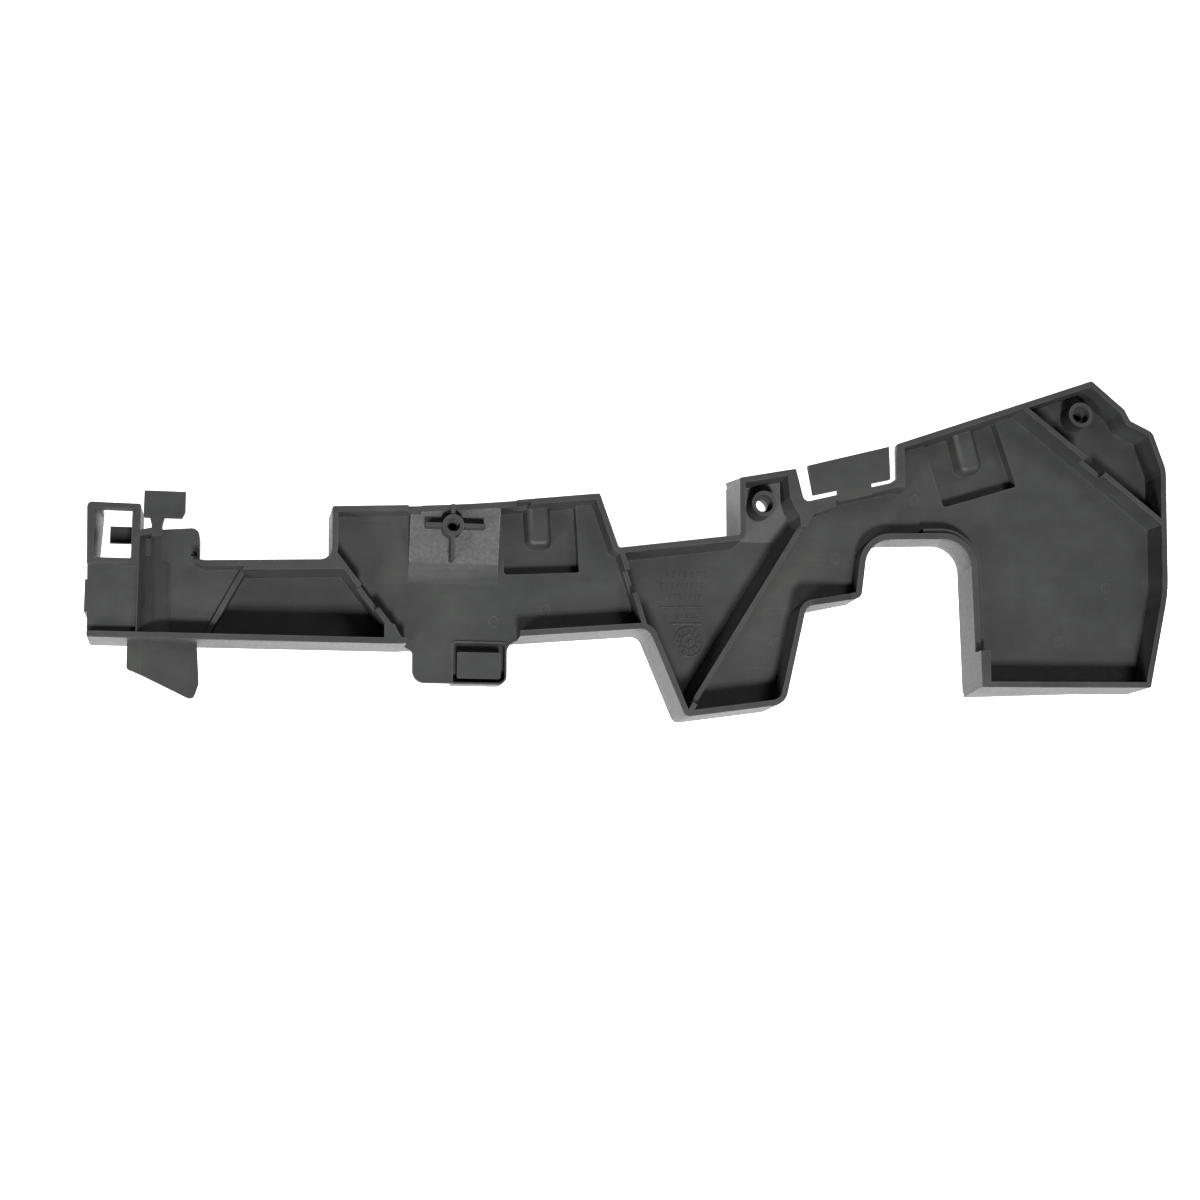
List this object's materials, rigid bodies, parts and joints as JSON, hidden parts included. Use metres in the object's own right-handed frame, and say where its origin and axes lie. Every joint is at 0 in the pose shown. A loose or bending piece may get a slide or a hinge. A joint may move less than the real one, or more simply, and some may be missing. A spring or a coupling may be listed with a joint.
{
  "type": "bumper mounting bracket",
  "caption": "Long one-piece moulded bracket that ties the end of a bumper cover to a car body, with walled trays, sloping ribs, screw bosses and clip pockets.",
  "frame": {"origin": "middle of the bounding box at its base, with the bracket lying on its flat back", "axes": "+X along the length from the latch ladder to the horn corner, +Y across the width towards the upper rim, +Z from the back to the open front"},
  "size_m": [0.4576, 0.1502, 0.026],
  "materials": {
    "black_moulding": "fine moulded grain, semi-matt dark grey"
  },
  "bodies": {
    "root": {"bracket_moulding": "black_moulding"}
  },
  "joints": []
}
